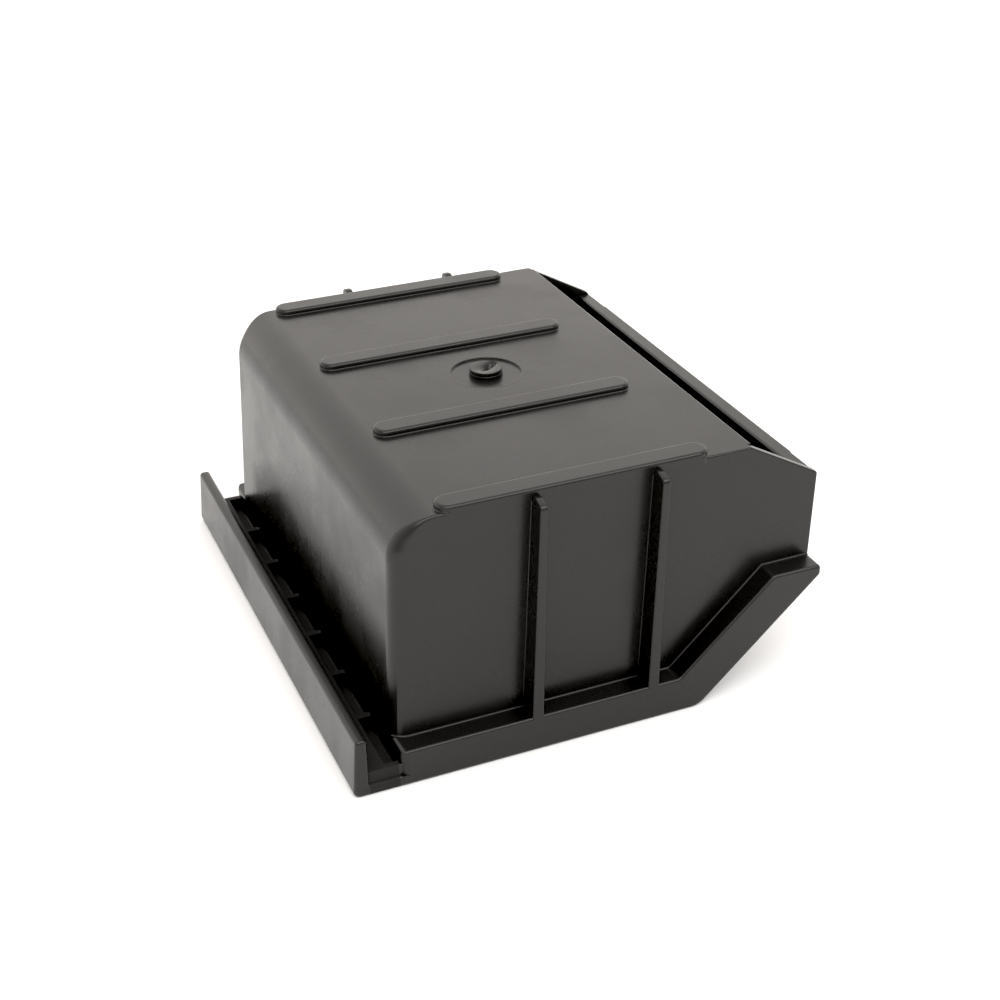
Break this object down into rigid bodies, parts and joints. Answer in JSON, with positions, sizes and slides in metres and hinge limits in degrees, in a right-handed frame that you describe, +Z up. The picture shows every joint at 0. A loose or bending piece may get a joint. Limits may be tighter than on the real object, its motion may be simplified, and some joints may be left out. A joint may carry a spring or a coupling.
{
  "type": "stacking and hanging small parts bin",
  "caption": "Black conductive plastic open-front bin for small parts, with ribbed floor and sides, a stacking rim and a hanging lip, stored upside down on its rim.",
  "frame": {"origin": "centre of the bounding box at its base: the plane of the rim that the bin stands on as pictured, upside down", "axes": "+Z up through the outside of the floor (down in use), +Y to the hanging lip at the back, -Y to the low hopper front, X across the width"},
  "size_m": [0.102, 0.0886, 0.048],
  "materials": {
    "conductive_plastic": "satin black, slightly glossy, with faint moulding marks"
  },
  "bodies": {
    "root": {"floor_panel": "conductive_plastic", "back_bend": "conductive_plastic", "back_wall": "conductive_plastic", "front_wall": "conductive_plastic", "front_web": "conductive_plastic", "front_apron": "conductive_plastic", "label_holder": "conductive_plastic", "left_wall": "conductive_plastic", "left_cheek": "conductive_plastic", "left_level_ledge": "conductive_plastic", "left_level_skirt": "conductive_plastic", "left_slope_ledge": "conductive_plastic", "left_slope_skirt": "conductive_plastic", "left_front_ledge": "conductive_plastic", "left_front_skirt": "conductive_plastic", "right_wall": "conductive_plastic", "right_cheek": "conductive_plastic", "right_level_ledge": "conductive_plastic", "right_level_skirt": "conductive_plastic", "right_slope_ledge": "conductive_plastic", "right_slope_skirt": "conductive_plastic", "right_front_ledge": "conductive_plastic", "right_front_skirt": "conductive_plastic", "rear_rim": "conductive_plastic", "left_front_side_rib": "conductive_plastic", "left_rear_side_rib": "conductive_plastic", "right_front_side_rib": "conductive_plastic", "right_rear_side_rib": "conductive_plastic", "outer_left_floor_rib": "conductive_plastic", "inner_left_floor_rib": "conductive_plastic", "inner_right_floor_rib": "conductive_plastic", "outer_right_floor_rib": "conductive_plastic", "hang_plate": "conductive_plastic", "hang_lip": "conductive_plastic", "hang_curb": "conductive_plastic", "left_channel_end": "conductive_plastic", "right_channel_end": "conductive_plastic", "cross_rib_1": "conductive_plastic", "cross_rib_2": "conductive_plastic", "cross_rib_3": "conductive_plastic", "cross_rib_4": "conductive_plastic", "cross_rib_5": "conductive_plastic", "cross_rib_6": "conductive_plastic", "gate_nub": "conductive_plastic"}
  },
  "joints": []
}
